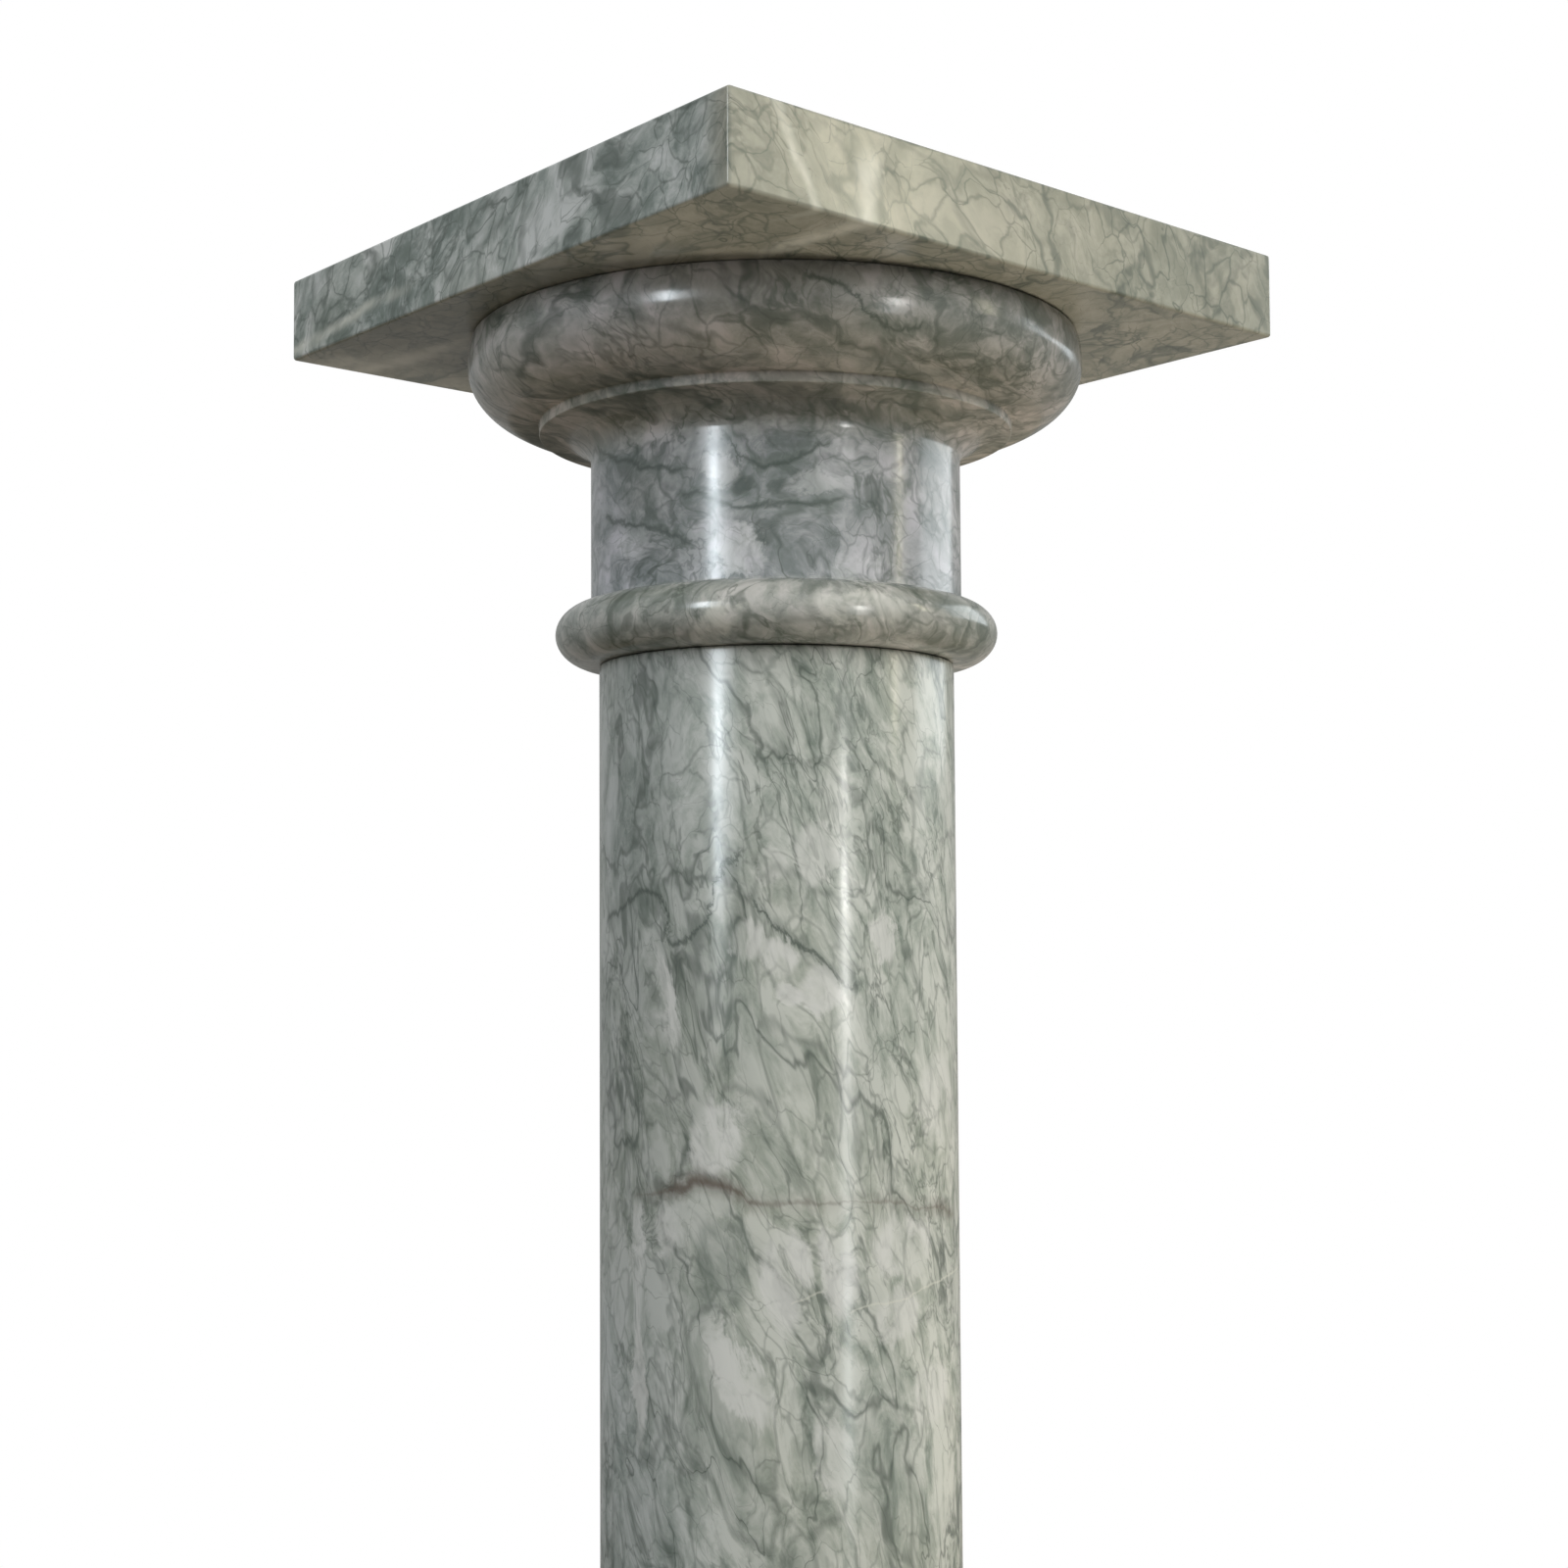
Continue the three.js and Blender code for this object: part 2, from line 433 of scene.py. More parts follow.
def capital_outline():
    level = capital_levels()
    widest_radius = size_of("capital").x / 2
    ring_middle = level.foot + RING_HEIGHT / 2
    bulge_reach = widest_radius - LIP_RADIUS
    top_reach = widest_radius - ECHINUS_TOP_RADIUS
    points = [(0, level.foot)]
    points += arc((NECK_RADIUS, ring_middle), RING_REACH, RING_HEIGHT / 2, -90, 90)
    points += arc((LIP_RADIUS, level.neck_top), LIP_RADIUS - NECK_RADIUS, COVE_HEIGHT, 180, 90)
    points += arc((LIP_RADIUS, level.widest), bulge_reach, ECHINUS_LOWER_HEIGHT, -90, 0)
    points += arc((ECHINUS_TOP_RADIUS, level.widest), top_reach, level.top - level.widest, 0, 90)
    points += [(0, level.top)]
    return points


def base_outline():
    low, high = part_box("base")
    foot, top = low.z, high.z
    torus_half = TORUS_HEIGHT / 2
    torus_middle = size_of("base").x / 2 - torus_half
    fillet_foot = foot + TORUS_HEIGHT
    fillet_top = fillet_foot + FILLET_HEIGHT
    collar_foot = fillet_top + SCOTIA_HEIGHT
    points = [(0, foot)]
    points += arc((torus_middle, foot + torus_half), torus_half, torus_half, -90, 90)
    points += [(FILLET_RADIUS, fillet_foot)]
    points += arc((FILLET_RADIUS, collar_foot), FILLET_RADIUS - COLLAR_RADIUS, SCOTIA_HEIGHT, -90, -180)
    points += [(COLLAR_RADIUS, top), (0, top)]
    return points


def shaft_outline():
    low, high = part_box("shaft")
    radius = size_of("shaft").x / 2
    return [(0, low.z), (radius, low.z), (radius, high.z), (0, high.z)]


def lathe_sockets(tree):
    sockets = (
        ("Outline", "INPUT", "NodeSocketGeometry"), ("Sides", "INPUT", "NodeSocketInt"),
        ("Finish", "INPUT", "NodeSocketMaterial"), ("Turned", "OUTPUT", "NodeSocketGeometry"),
    )
    for name, way, kind in sockets:
        tree.interface.new_socket(name, in_out=way, socket_type=kind)


def turned_place(make, outline, rows):
    """Where each point of a flat grid goes: X of the grid runs round the axis, and Y along the outline.

    The grid is 1 m square, with the origin in its middle.
    """
    place = make.node("GeometryNodeInputPosition").outputs[0]
    grid = make.split(place)
    angle = make.maths("MULTIPLY", make.maths("ADD", grid["X"], 0.5), 2 * math.pi)
    row = make.maths("MULTIPLY", make.maths("ADD", grid["Y"], 0.5), make.maths("SUBTRACT", rows, 1))
    index = make.node("FunctionNodeFloatToInt", {0: row}).outputs[0]
    sample = make.node("GeometryNodeSampleIndex", data_type="FLOAT_VECTOR")
    make.feed(sample.inputs["Geometry"], outline)
    make.feed(sample.inputs["Value"], place)
    make.feed(sample.inputs["Index"], index)
    point = make.split(sample.outputs[0])
    across = make.maths("MULTIPLY", point["X"], make.maths("COSINE", angle))
    along = make.maths("MULTIPLY", point["X"], make.maths("SINE", angle))
    return make.node("ShaderNodeCombineXYZ", {"X": across, "Y": along, "Z": point["Z"]}).outputs[0]


def lathe_tree():
    """Turns an outline of points in the XZ plane round the Z axis."""
    tree = bpy.data.node_groups.new("turned_on_the_lathe", "GeometryNodeTree")
    lathe_sockets(tree)
    make = NodeMaker(tree)
    given = make.node("NodeGroupInput").outputs
    outline = given["Outline"]
    rows = make.node("GeometryNodeAttributeDomainSize", {"Geometry": outline}).outputs["Point Count"]
    columns = make.maths("ADD", given["Sides"], 1)
    grid = make.node("GeometryNodeMeshGrid", {"Vertices X": columns, "Vertices Y": rows}).outputs["Mesh"]
    place = turned_place(make, outline, rows)
    turned = make.node("GeometryNodeSetPosition", {"Geometry": grid, "Position": place}).outputs[0]
    weld = {"Geometry": turned, "Distance": WELD_DISTANCE}
    closed = make.node("GeometryNodeMergeByDistance", weld).outputs[0]
    smooth = make.node("GeometryNodeSetShadeSmooth", {"Geometry": closed}).outputs[0]
    real = make.node("GeometryNodeRealizeInstances", {0: smooth}).outputs[0]
    finished = make.node("GeometryNodeSetMaterial", {"Geometry": real, "Material": given["Finish"]})
    make.node("NodeGroupOutput", {"Turned": finished.outputs[0]})
    return tree


def plain_mesh(maker, name):
    """The maker object's evaluated mesh as a piece of its own, with the maker taken away."""
    graph = bpy.context.evaluated_depsgraph_get()
    mesh = bpy.data.meshes.new_from_object(maker.evaluated_get(graph), depsgraph=graph)
    bpy.data.objects.remove(maker)
    outward = bmesh.new()
    outward.from_mesh(mesh)
    bmesh.ops.recalc_face_normals(outward, faces=outward.faces)
    outward.to_mesh(mesh)
    outward.free()
    mesh.name = name
    return put_in_scene(name, mesh)


def turned_piece(name, outline, tree, finish):
    points = [(radius, 0, height) for radius, height in outline]
    edges = [(i, i + 1) for i in range(len(points) - 1)]
    mesh = bpy.data.meshes.new(name + "_outline")
    mesh.from_pydata(points, edges, [])
    maker = put_in_scene(name + "_maker", mesh)
    lathe = maker.modifiers.new("lathe", "NODES")
    lathe.node_group = tree
    sockets = {item.name: item.identifier for item in tree.interface.items_tree}
    lathe[sockets["Sides"]] = TURNED_SIDES
    lathe[sockets["Finish"]] = finish
    piece = plain_mesh(maker, name)
    piece.data.set_sharp_from_angle(angle=math.radians(SHARP_EDGE))
    return piece


# Square slabs


def slab_piece(name, node, finish):
    low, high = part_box(node)
    block = bmesh.new()
    bmesh.ops.create_cube(block, size=1)
    bmesh.ops.scale(block, vec=high - low, verts=block.verts)
    bmesh.ops.translate(block, vec=(low + high) / 2, verts=block.verts)
    mesh = bpy.data.meshes.new(name + "_block")
    block.to_mesh(mesh)
    block.free()
    mesh.materials.append(finish)
    for face in mesh.polygons:
        face.use_smooth = True
    maker = put_in_scene(name + "_maker", mesh)
    ease = maker.modifiers.new("ease", "BEVEL")
    ease.width = SLAB_EASE
    ease.segments = SLAB_EASE_STEPS
    ease.harden_normals = True
    return plain_mesh(maker, name)


# Marble


class Marble(Finish):
    """A material's nodes, with a short method for each kind that the marble needs."""

    def place(self, offset, turn, scale):
        """Object coordinates in a block of stone with its own place, turn and stretch."""
        radians = [math.radians(angle) for angle in turn]
        feeds = {"Vector": self.where, "Location": offset, "Rotation": radians, "Scale": scale}
        return self.node("ShaderNodeMapping", feeds, vector_type="TEXTURE").outputs[0]

    def noise_node(self, vector, scale, detail, roughness):
        feeds = {"Vector": vector, "Scale": scale, "Detail": detail, "Roughness": roughness}
        return self.node("ShaderNodeTexNoise", feeds)

    def noise(self, vector, scale, detail=4, roughness=0.55):
        return self.noise_node(vector, scale, detail, roughness).outputs["Fac"]

    def centred(self, noise):
        return self.maths("SUBTRACT", noise, 0.5)

    def vector_maths(self, operation, *vectors):
        feeds = dict(enumerate(vectors))
        return self.node("ShaderNodeVectorMath", feeds, operation=operation).outputs

    def warped(self, vector, scale, amount):
        """The vector pushed about by noise."""
        noise = self.noise_node(vector, scale, detail=3, roughness=0.5)
        push = self.vector_maths("SUBTRACT", noise.outputs["Color"], (0.5, 0.5, 0.5))[0]
        return self.vector_maths("MULTIPLY_ADD", push, (amount, amount, amount), vector)[0]

    def drawn_out(self, vector, stretch):
        """The vector with what it shows drawn out along Z."""
        return self.vector_maths("MULTIPLY", vector, (1, 1, 1 / stretch))[0]

    def along(self, axis, start, end):
        """0 before the start and 1 past the end of a stretch of X, Y or Z in metres."""
        return self.fade(self.split(self.where)[axis], start, end)

    def beside_plane(self, point, normal):
        """Distance of a place on the object from a plane."""
        away = self.vector_maths("SUBTRACT", self.where, point)[0]
        return self.vector_maths("DOT_PRODUCT", away, Vector(normal).normalized())["Value"]

    def clasts(self, vector, scale, feature):
        feeds = {"Vector": vector, "Scale": scale}
        return self.node("ShaderNodeTexVoronoi", feeds, feature=feature)

    def clast_tone(self, vector, scale):
        """A tone of its own for each clast, running softly into its neighbours."""
        clasts = self.clasts(vector, scale, "SMOOTH_F1")
        self.feed(clasts.inputs["Smoothness"], CLAST_SMOOTHNESS)
        return self.node("ShaderNodeSeparateColor", {0: clasts.outputs["Color"]}).outputs[0]

    def clast_edge(self, vector, scale):
        """How far a point lies from its clast's border."""
        return self.clasts(vector, scale, "DISTANCE_TO_EDGE").outputs["Distance"]

    def times(self, first, *others):
        for other in others:
            first = self.maths("MULTIPLY", first, other)
        return first

    def blend_of(self, *parts):
        """The sum of values, each times its share."""
        total = 0.0
        for value, share in parts:
            total = self.maths("ADD", self.times(value, share), total)
        return total

    def shifted(self, value, noise, reach):
        return self.maths("ADD", value, self.times(noise, reach))

    def away(self, value, middle=0.5):
        return self.maths("ABSOLUTE", self.maths("SUBTRACT", value, middle))

    def line(self, away, width):
        """1 where the distance is 0, falling to 0 at the width, which may be a value or a socket."""
        return self.fade(self.maths("DIVIDE", away, width), 0.0, 1.0, low=1.0, high=0.0)

    def round_the_drum(self):
        """Degrees round the axis from the side that faces the camera, to the right, and height."""
        turned = self.split(self.place((0, 0, 0), (0, 0, CAMERA_AZIMUTH - 90), (1, 1, 1)))
        angle = self.maths("ARCTAN2", turned["Y"], turned["X"])
        return self.times(angle, 180 / math.pi), turned["Z"]

    def float_curve(self, value, points):
        """A smooth curve through points from 0 to 1."""
        node = self.node("ShaderNodeFloatCurve", {"Value": value})
        handles = node.mapping.curves[0].points
        while len(handles) < len(points):
            handles.new(0.5, 0.5)
        for handle, point in zip(handles, points):
            handle.location = point
        node.mapping.update()
        return node.outputs[0]

    def level_along(self, angle, path):
        """Height of a path drawn round the drum as (degrees, millimetres), and 1 between its two ends."""
        first, last = path[0][0], path[-1][0]
        lowest = min(height for _, height in path)
        highest = max(height for _, height in path)
        run, rise = last - first, highest - lowest
        points = [((degrees - first) / run, (height - lowest) / rise) for degrees, height in path]
        along = self.times(self.maths("SUBTRACT", angle, first), 1 / run)
        curve = self.float_curve(along, points)
        level = self.maths("ADD", self.times(curve, rise * MM), lowest * MM)
        outside, inside = LINE_ENDS
        comes_in = self.fade(along, outside, inside)
        goes_out = self.fade(along, 1 - inside, 1 - outside, low=1.0, high=0.0)
        return level, self.times(comes_in, goes_out)


class Bed:
    """A stone's coordinates at several grades of folding, along the bedding of its block."""

    def __init__(self, stone, look):
        self.block = stone.place(look.offset, look.turn, (1, 1, look.stretch))
        self.folded = stone.warped(self.block, *FOLDS)
        self.wavy = stone.warped(self.folded, *WAVES)
        self.crisp = stone.warped(self.wavy, *CRINKLES)
        self.strands = stone.drawn_out(self.crisp, STRAND_STRETCH)


def cloud_tone(stone, bed, look):
    """Soft clouds, fine fibres, specks and a tone for each clast, about 0.5."""
    grain = look.grain
    soft = stone.noise(bed.wavy, scale=grain * 0.7, detail=7, roughness=0.62)
    fibres = stone.noise(bed.crisp, scale=grain * 2.2, detail=8, roughness=0.68)
    fibre = stone.fade(fibres, start=0.34, end=0.66)
    clast = stone.clast_tone(bed.crisp, grain)
    pale = stone.fade(stone.clast_edge(bed.crisp, grain * 1.2), start=0.0, end=0.24)
    specks = stone.noise(bed.crisp, scale=grain * 5, detail=4, roughness=0.6)
    speck = stone.fade(specks, start=0.3, end=0.7)
    tone = stone.blend_of((soft, 0.44), (fibre, 0.24), (clast, 0.12), (pale, 0.09), (speck, 0.11))
    return stone.blend_of((tone, look.contrast), (0.5, 1 - look.contrast))


def body_colour(stone, bed, tone, look, beside, plain=0.0):
    """The stone's ground, and how strongly broad veins show on it.

    Where beside is 1, the second tint holds, and the ground is plainer. The tints are partly painted light
    and shade on the sides, over the stone's own tone.
    """
    body = stone.ramp(tone, GROUND_STOPS)
    warm = stone.fade(stone.noise(bed.block, scale=6, detail=3), start=0.40, end=0.62, high=look.warmth)
    body = stone.mix(warm, body, WARM_BEIGE, "SOFT_LIGHT")
    plainness = stone.times(beside, plain)
    body = stone.mix(plainness, body, PALE_GREY)
    # Painted light and shade: the tints lighten, darken or warm a side as the light falls on it, over the
    # stone's own tone
    body = stone.mix(1.0, body, stone.mix(beside, *look.tints), "MULTIPLY")
    return body, stone.maths("SUBTRACT", 1.0, plainness)


def main_veins(stone, bed, body, grain, patches, broad):
    """Main veins with soft halos and bundles of thin threads beside them."""
    course = stone.noise(bed.crisp, scale=grain * 0.36, detail=4, roughness=0.54)
    beside = stone.away(course)
    dusk = stone.noise(bed.crisp, scale=grain * 3)
    halo = stone.times(stone.line(beside, width=0.09), dusk, broad, HALO_STRENGTH)
    body = stone.mix(halo, body, DUSK_GREEN)
    thread = stone.line(stone.maths("PINGPONG", course, THREAD_SPACING), width=0.006)
    near = stone.line(beside, width=0.10)
    bundled = stone.fade(patches, start=0.44, end=0.62)
    body = stone.mix(stone.times(thread, near, bundled, broad, BUNDLE_STRENGTH), body, VEIN_GREEN)
    main = stone.line(beside, stone.fade(patches, start=0.36, end=0.62, low=0.003, high=0.020))
    return stone.mix(stone.times(main, MAIN_STRENGTH), body, VEIN_GREEN)


def second_veins(stone, bed, body, grain):
    """Veins of another course, in patches."""
    second = stone.away(stone.noise(bed.crisp, scale=grain * 0.85, detail=4, roughness=0.54))
    patches = stone.noise(bed.block, scale=27, detail=2)
    strength = stone.fade(patches, start=0.42, end=0.62, high=SECOND_STRENGTH)
    return stone.mix(stone.times(stone.line(second, width=0.028), strength), body, VEIN_GREEN)


def clast_veins(stone, bed, body, grain, patches):
    """Veins along the borders of the clasts."""
    width = stone.fade(patches, start=0.60, end=0.40, low=0.01, high=0.07)
    cell = stone.line(stone.clast_edge(bed.crisp, grain), width)
    return stone.mix(stone.times(cell, CELL_STRENGTH), body, VEIN_GREEN)


def strands(stone, bed, body, grain, broad):
    """Strands drawn out along the bedding, in patches."""
    strand = stone.away(stone.noise(bed.strands, scale=grain * 1.7, detail=4, roughness=0.6))
    patches = stone.noise(bed.folded, scale=22, detail=3)
    strength = stone.fade(patches, start=0.40, end=0.60, high=STRAND_STRENGTH)
    return stone.mix(stone.times(stone.line(strand, width=0.030), strength, broad), body, VEIN_GREEN)


def hair_net(stone, bed, body, look):
    """A net of hairs round small clasts, wider in patches."""
    patches = stone.noise(bed.block, scale=24, detail=3)
    width = stone.fade(patches, start=0.42, end=0.62, low=0.005, high=0.07)
    hairs = stone.line(stone.clast_edge(bed.crisp, look.grain * 2.5), width)
    return stone.mix(stone.times(hairs, look.net), body, VEIN_GREEN)


def natural_veins(stone, bed, body, look, broad):
    """The veins that follow rules. Halos, bundles and strands show as strongly as broad says."""
    patches = stone.noise(bed.block, scale=19, detail=3)
    body = main_veins(stone, bed, body, look.grain, patches, broad)
    body = second_veins(stone, bed, body, look.grain)
    body = clast_veins(stone, bed, body, look.grain, patches)
    body = strands(stone, bed, body, look.grain, broad)
    return hair_net(stone, bed, body, look)


def polished(stone, bed, body, dull=0.0):
    """Marble with an even polish, and a duller one where dull is 1."""
    clouds = stone.noise(bed.block, scale=70)
    gloss = stone.fade(clouds, start=0.3, end=0.7, low=GLOSSIEST, high=LEAST_GLOSSY)
    roughness = stone.maths("MAXIMUM", gloss, stone.times(dull, DULL_ROUGHNESS))
    grit = stone.noise(bed.block, scale=90, detail=3)
    bump = stone.node("ShaderNodeBump", {
        "Strength": BUMP_STRENGTH, "Distance": BUMP_DISTANCE, "Height": grit,
    })
    stone.feed(stone.surface.inputs["Base Color"], body)
    stone.feed(stone.surface.inputs["Roughness"], roughness)
    stone.feed(stone.surface.inputs["Normal"], bump.outputs[0])
    return stone.material


def draw_white_veins(stone, bed, body, veins):
    ragged = stone.centred(stone.noise(bed.block, scale=50, detail=5, roughness=0.6))
    torn = stone.times(ragged, WHITE_VEIN_TEAR)
    patchy = stone.fade(stone.noise(bed.block, scale=60), start=0.35, end=0.6, low=0.4, high=1.0)
    for vein in veins:
        beside = stone.away(stone.maths("ADD", stone.beside_plane(vein.point, vein.normal), torn), 0.0)
        line = stone.line(beside, vein.half_width)
        white = stone.times(line, stone.along(*vein.comes_in), patchy, vein.strength)
        body = stone.mix(white, body, SCAR_WHITE)
    return body


def slab_stone(name, node, look, plain, white_veins=()):
    """A square slab's marble, plainer and warmer on its +X side and underneath, with painted light in that
    warm, darker tint.
    """
    stone = Marble(name)
    bed = Bed(stone, look)
    low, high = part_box(node)
    tone = stone.maths("ADD", cloud_tone(stone, bed, look), look.lift)
    side = stone.along("X", high.x - PLAIN_SIDE_DEPTH, high.x - PLAIN_SIDE_SKIN)
    under = stone.along("Z", low.z + UNDERSIDE_DEPTH, low.z + UNDERSIDE_SKIN)
    # Painted light: the +X side's warm, darker tint also lies on the underside, as the brown floor's bounce
    # light
    body, broad = body_colour(stone, bed, tone, look, stone.maths("MAXIMUM", side, under), plain)
    body = natural_veins(stone, bed, body, look, broad)
    if white_veins:
        body = draw_white_veins(stone, bed, body, white_veins)
    return polished(stone, bed, body)


def mass_mask(stone, angle, height, masses):
    """How strongly the drawn masses show at a point."""
    total = 0.0
    for degrees, level, half_width, half_height, slant, strength in masses:
        rise = stone.maths("SUBTRACT", height, level * MM)
        upright = stone.maths("SUBTRACT", angle, degrees)
        aside = stone.maths("SUBTRACT", upright, stone.times(rise, slant / MM))
        across = stone.times(aside, 1 / half_width)
        along = stone.times(rise, 1 / (half_height * MM))
        squares = stone.maths("ADD", stone.times(across, across), stone.times(along, along))
        shows = stone.fade(squares, start=0.4, end=1.25, low=strength, high=0.0)
        total = stone.maths("ADD", shows, total)
    return stone.maths("MINIMUM", total, 1.0)


class DrawnStone:
    """A turned piece's marble, with masses and lines where the photograph shows them."""

    def __init__(self, name, look, side, pale_masses=(), dark_masses=(), shake=0):
        stone = self.stone = Marble(name)
        bed = self.bed = Bed(stone, look)
        self.angle, self.height = stone.round_the_drum()
        shaken = stone.centred(stone.noise(bed.wavy, scale=60, detail=6, roughness=0.72))
        self.jitter = stone.centred(stone.noise(bed.crisp, scale=130))
        self.shaky = stone.shifted(self.angle, shaken, shake)
        rough_angle = stone.shifted(self.angle, shaken, MASS_SHAKE)
        rough_height = stone.shifted(self.height, shaken, MASS_SHAKE_HEIGHT)
        pale = mass_mask(stone, rough_angle, rough_height, pale_masses)
        dark = mass_mask(stone, rough_angle, rough_height, dark_masses)
        shift = stone.blend_of((pale, PALE_LIFT), (dark, DARK_LIFT), (1.0, look.lift))
        tone = stone.maths("ADD", cloud_tone(stone, bed, look), shift)
        body, broad = body_colour(stone, bed, tone, look, stone.along("X", *side))
        self.body = natural_veins(stone, bed, body, look, broad)
        self.paint_masses(pale, dark)

    def paint(self, amount, colour):
        self.body = self.stone.mix(amount, self.body, colour)

    def paint_masses(self, pale, dark):
        """A white veil over the pale masses and a dusky shade over the dark ones, both cloudy."""
        stone = self.stone
        clouds = stone.noise(self.bed.crisp, scale=80, detail=6, roughness=0.65)
        veil = stone.fade(clouds, start=0.36, end=0.56, low=0.2, high=0.9)
        shade = stone.fade(clouds, start=0.40, end=0.62, low=0.85, high=0.3)
        self.paint(stone.times(pale, veil), LUMP_WHITE)
        self.paint(stone.times(dark, shade), DUSK_GREEN)

    def draw_vein(self, path):
        """A dark thread with a soft dusky fringe along a path round the drum."""
        stone = self.stone
        level, within = stone.level_along(self.shaky, path)
        beside = stone.away(stone.shifted(self.height, self.jitter, VEIN_JITTER), level)
        fringe = stone.line(beside, FRINGE_WIDTH)
        thread = stone.line(beside, DRAWN_VEIN_WIDTH)
        self.paint(stone.times(fringe, within, FRINGE_STRENGTH), DUSK_GREEN)
        self.paint(stone.times(thread, within, DRAWN_VEIN_STRENGTH), VEIN_GREEN)

    def draw_crack(self, path):
        """A filled crack: a brown seam, strongest left of the middle, in a paler stain."""
        stone, bed, angle = self.stone, self.bed, self.angle
        level, within = stone.level_along(self.shaky, path)
        torn = stone.centred(stone.noise(bed.block, scale=48, detail=6, roughness=0.62))
        beside = stone.away(stone.shifted(self.height, torn, CRACK_TEAR), level)
        core = stone.times(stone.fade(angle, *CRACK_CORE_LEFT), stone.fade(angle, *CRACK_CORE_RIGHT))
        right_end = stone.fade(angle, *CRACK_RIGHT_END)
        stain = stone.blend_of((core, 0.40), (right_end, 0.28), (1.0, 0.16))
        self.paint(stone.times(stone.line(beside, STAIN_WIDTH), within, stain), CRACK_BROWN)
        breaks = stone.noise(bed.block, scale=75, detail=3)
        narrow, wide = SEAM_WIDTHS
        width = stone.fade(breaks, start=0.35, end=0.65, low=narrow, high=wide)
        seam = stone.line(beside, stone.shifted(width, core, SEAM_CORE_WIDTH))
        strength = stone.blend_of((core, 0.35), (breaks, 0.50), (1.0, 0.08))
        self.paint(stone.times(seam, within, strength), CRACK_BROWN)

    def draw_scar(self, path):
        """A thin white scratch."""
        stone = self.stone
        level, within = stone.level_along(self.angle, path)
        beside = stone.away(stone.shifted(self.height, self.jitter, SCAR_JITTER), level)
        self.paint(stone.times(stone.line(beside, SCAR_WIDTH), within, SCAR_STRENGTH), SCAR_WHITE)

    def tint_by_height(self, low, high, stops):
        tint = self.stone.ramp(self.stone.along("Z", low, high), stops)
        self.body = self.stone.mix(1.0, self.body, tint, "MULTIPLY")

    def material(self, dull=0.0):
        return polished(self.stone, self.bed, self.body, dull)


def shaft_stone():
    """The shaft's marble, with painted shade a little darker towards its top and on its side away from +X,
    with the filled crack and the scratches.
    """
    drawn = DrawnStone("shaft_marble", SHAFT_LOOK, SHAFT_RUN, SHAFT_PALE, SHAFT_DARK, SHAFT_SHAKE)
    for path in SHAFT_VEINS:
        drawn.draw_vein(path)
    # Painted shade: darker towards the top of the shaft
    drawn.tint_by_height(*SHAFT_STRETCH, SHAFT_PAINTED_SHADE)
    drawn.draw_crack(CRACK)
    for path in SCARS:
        drawn.draw_scar(path)
    return drawn.material()


def capital_stone():
    """The capital's marble, cool on the neck, browner above it as a painted floor reflection, painted shade
    on +X, warmer on the ring, duller at the lip.
    """
    drawn = DrawnStone("capital_marble", CAPITAL_LOOK, MAUVE_RUN, CAPITAL_PALE, CAPITAL_DARK, CAPITAL_SHAKE)
    for path in CAPITAL_VEINS:
        drawn.draw_vein(path)
    # Painted reflection: the browner band above the neck stands in for a brown floor mirrored in the echinus
    # underside
    drawn.tint_by_height(*CAPITAL_STRETCH, CAPITAL_TINTS_AND_PAINTED_REFLECTION)
    level = capital_levels()
    drawn.tint_by_height(level.ring_top + RING_TINT_BLUR, level.ring_top - RING_TINT_BLUR, RING_TINTS)
    far, near = DULL_BLUR
    above = drawn.stone.along("Z", level.lip_foot - far, level.lip_foot - near)
    below = drawn.stone.along("Z", level.lip_top + far, level.lip_top + near)
    return drawn.material(drawn.stone.times(above, below))


def base_stone():
    # Painted shade: the mauve tints darken the +X side of the base
    return DrawnStone("base_marble", BASE_LOOK, MAUVE_RUN).material()


# Camera, light and floor


def photograph_camera():
    top = cad_box[1].z
    azimuth = math.radians(CAMERA_AZIMUTH)
    heading = math.radians(CAMERA_AZIMUTH + CAMERA_YAW)
    pitch = math.radians(CAMERA_PITCH)
    place = Vector((math.sin(azimuth), -math.cos(azimuth), 0)) * CAMERA_DISTANCE
    place.z = top - CAMERA_BELOW_TOP
    flat = math.cos(pitch)
    ahead = Vector((-math.sin(heading) * flat, math.cos(heading) * flat, math.sin(pitch)))
    right = Vector((math.cos(heading), math.sin(heading), 0))
    roll = Matrix.Rotation(math.radians(-CAMERA_ROLL), 3, ahead)
    right = roll @ right
    up = right.cross(ahead)
    data = bpy.data.cameras.new("photograph_camera")
    data.sensor_width = SENSOR_WIDTH
    data.lens = SENSOR_WIDTH * FOCAL_PIXELS / PHOTO_SIZE
    data.shift_y = PRINCIPAL_ROW / PHOTO_SIZE - 0.5
    camera = put_in_scene("photograph_camera", data)
    turn = Matrix((right, up, -ahead)).transposed().to_4x4()
    camera.matrix_world = Matrix.Translation(place) @ turn
    bpy.context.scene.camera = camera


def area_light(name, power, colour):
    data = bpy.data.lights.new(name, "AREA")
    data.energy = power
    data.color = colour
    return put_in_scene(name, data)


def right_of_camera(azimuth, distance):
    """A place on the floor, at an azimuth counted from the camera's, to the right."""
    angle = math.radians(CAMERA_AZIMUTH + azimuth)
    return Vector((math.sin(angle), -math.cos(angle), 0)) * distance


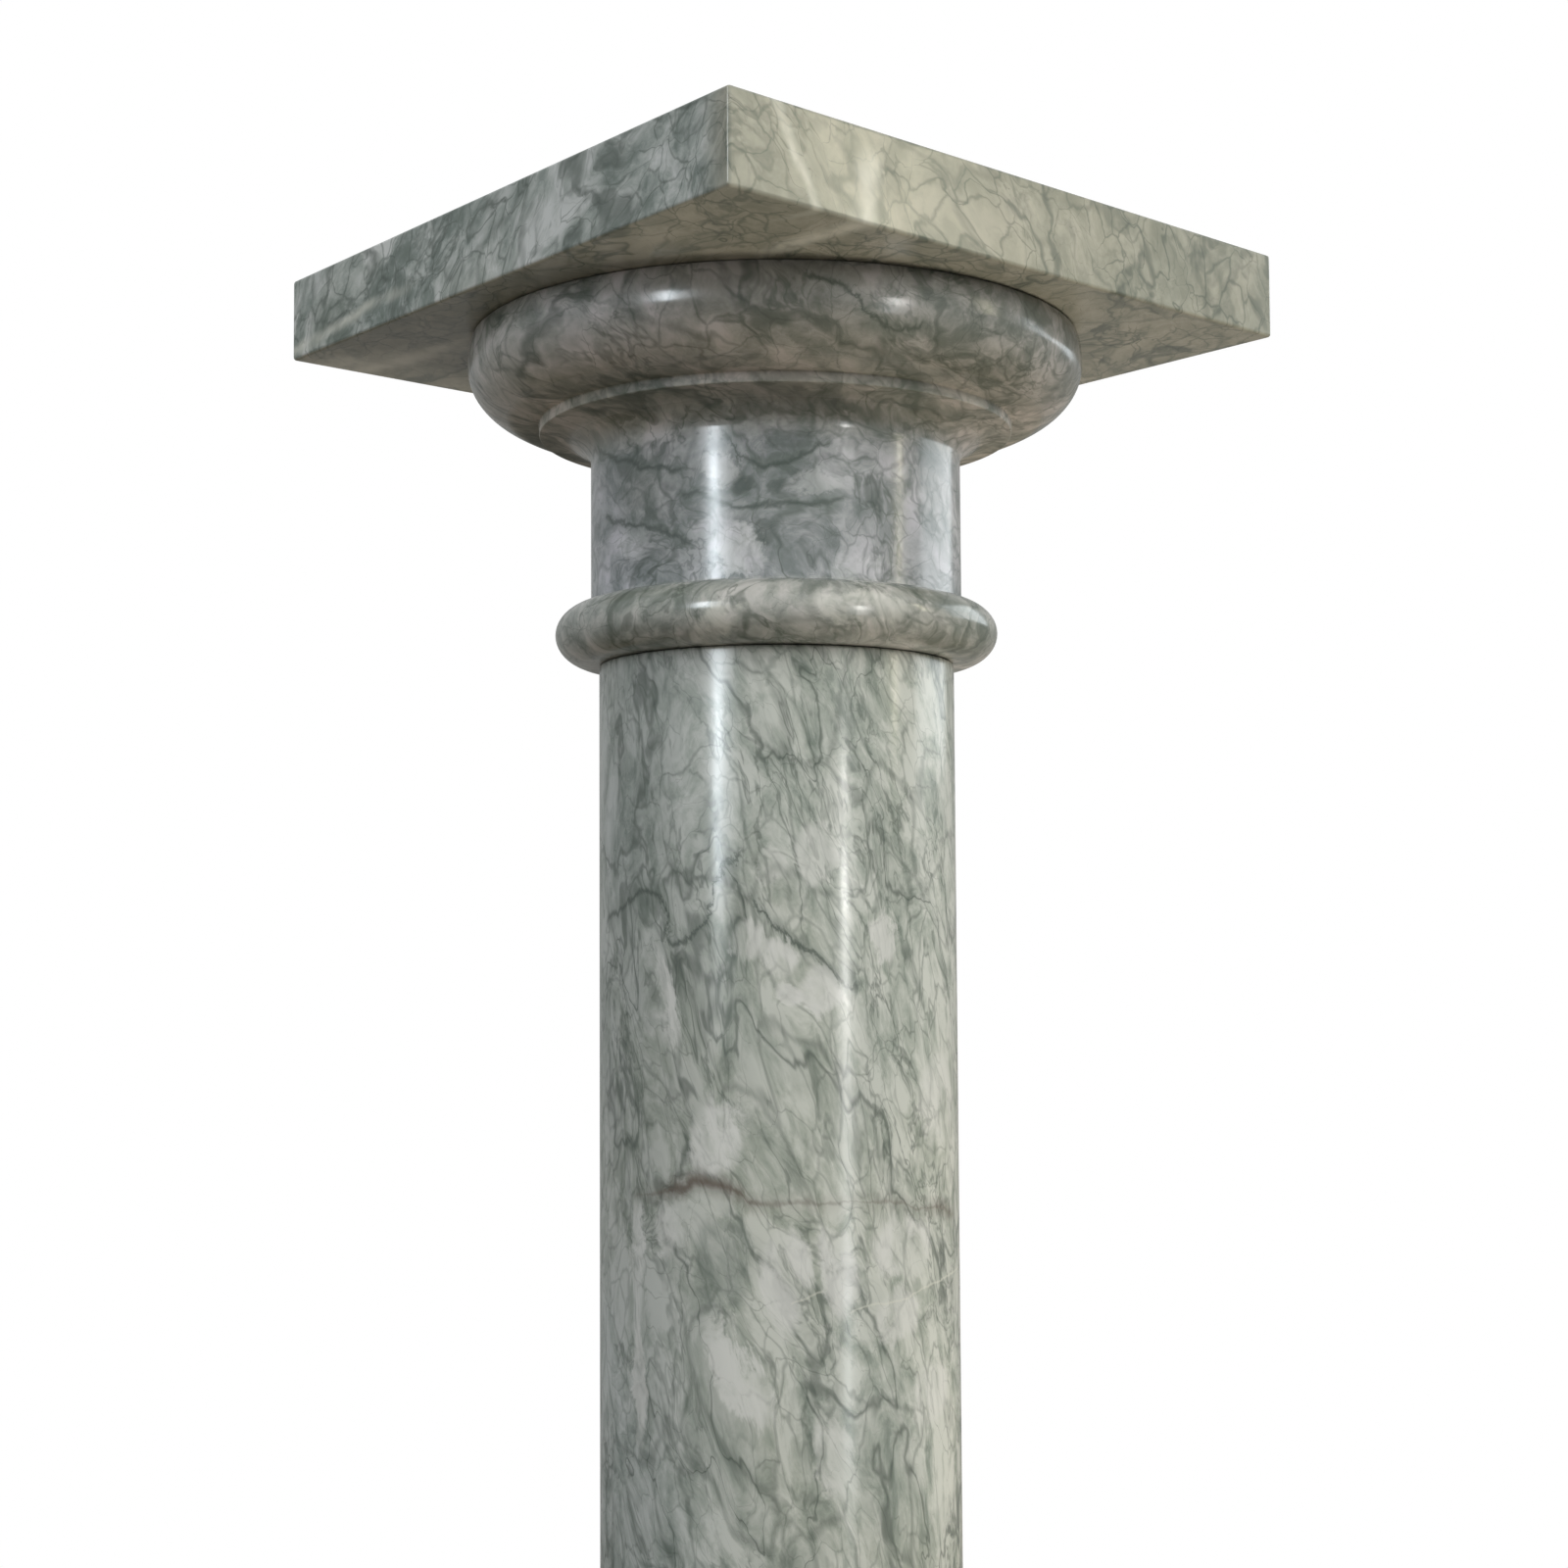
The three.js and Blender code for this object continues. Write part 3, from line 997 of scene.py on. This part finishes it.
def panel_light(panel):
    """An upright panel that faces the column."""
    light = area_light(panel.name, panel.power, panel.colour)
    light.data.shape = "RECTANGLE"
    light.data.size = panel.width
    light.data.size_y = panel.high - panel.low
    place = right_of_camera(panel.azimuth, panel.distance)
    light.rotation_euler = (-place).to_track_quat("-Z", "Y").to_euler()
    place.z = (panel.low + panel.high) / 2
    light.location = place
    light.visible_glossy = panel.mirrored
    light.visible_diffuse = not panel.mirrored


def floor_patch():
    light = area_light("floor_patch", PATCH_POWER, PATCH_COLOUR)
    light.data.size = PATCH_SIDE
    place = right_of_camera(PATCH_AZIMUTH, PATCH_DISTANCE)
    place.z = PATCH_HEIGHT
    light.location = place
    light.rotation_euler = (math.pi, 0, 0)
    light.visible_glossy = False


def studio_world():
    """A white backdrop for the camera, and a dimmer room that lights and mirrors in the stone."""
    world = bpy.data.worlds.new("studio")
    world.use_nodes = True
    bpy.context.scene.world = world
    make = NodeMaker(world.node_tree)
    room = make.tree.nodes["Background"]
    outlook = make.node("ShaderNodeTexCoord").outputs["Generated"]
    height = make.node("ShaderNodeMapRange", {"Value": make.split(outlook)["Z"], "From Min": -1}).outputs[0]
    make.feed(room.inputs["Color"], make.ramp(height, ((0, ROOM_BELOW), (1, ROOM_ABOVE))))
    backdrop = make.node("ShaderNodeBackground", {"Color": BACKDROP_WHITE})
    seen = make.mix_shaders(make.camera_ray(), room.outputs[0], backdrop.outputs[0])
    make.feed(make.tree.nodes["World Output"].inputs["Surface"], seen)


def floor_finish():
    """Pale for the camera and fading to the white backdrop, and a brown that bounces light up."""
    finish = Finish("pale_floor")
    seen = finish.camera_ray()
    finish.feed(finish.surface.inputs["Roughness"], FLOOR_ROUGHNESS)
    finish.feed(finish.surface.inputs["Base Color"], finish.mix(seen, FLOOR_BOUNCE, FLOOR_SEEN))
    reach = finish.node("ShaderNodeVectorMath", {0: finish.where}, operation="LENGTH").outputs["Value"]
    rim = finish.maths("MULTIPLY", finish.fade(reach, *FLOOR_FADE), seen)
    backdrop = finish.node("ShaderNodeEmission").outputs[0]
    blend = finish.mix_shaders(rim, finish.surface.outputs[0], backdrop)
    finish.feed(finish.tree.nodes["Material Output"].inputs["Surface"], blend)
    return finish.material


def pale_floor():
    disc = bmesh.new()
    bmesh.ops.create_circle(disc, cap_ends=True, segments=FLOOR_SIDES, radius=FLOOR_RADIUS)
    mesh = bpy.data.meshes.new("floor")
    disc.to_mesh(mesh)
    disc.free()
    mesh.materials.append(floor_finish())
    floor = put_in_scene("floor", mesh)


# Making the column

photograph_camera()
studio_world()
for panel in PANELS:
    panel_light(panel)
floor_patch()
pale_floor()

slab_marble = slab_stone("slab_marble", "top_slab", SLAB_LOOK, SLAB_PLAINNESS, WHITE_VEINS)
capital_marble = capital_stone()
shaft_marble = shaft_stone()
base_marble = base_stone()
plinth_marble = slab_stone("plinth_marble", "plinth", PLINTH_LOOK, PLINTH_PLAINNESS)

lathe = lathe_tree()
pieces = {
    "plinth": slab_piece("plinth_block", "plinth", plinth_marble),
    "base": turned_piece("base_moulding", eased(base_outline(), ARRIS_EASE), lathe, base_marble),
    "shaft": turned_piece("shaft_drum", eased(shaft_outline(), SHAFT_END_EASE), lathe, shaft_marble),
    "capital": turned_piece("capital_moulding", eased(capital_outline(), ARRIS_EASE), lathe, capital_marble),
    "top_slab": slab_piece("top_slab_block", "top_slab", slab_marble),
}
for node, piece in pieces.items():
    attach(piece, "root")
    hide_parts(node)

bpy.context.scene.view_settings.view_transform = "Standard"
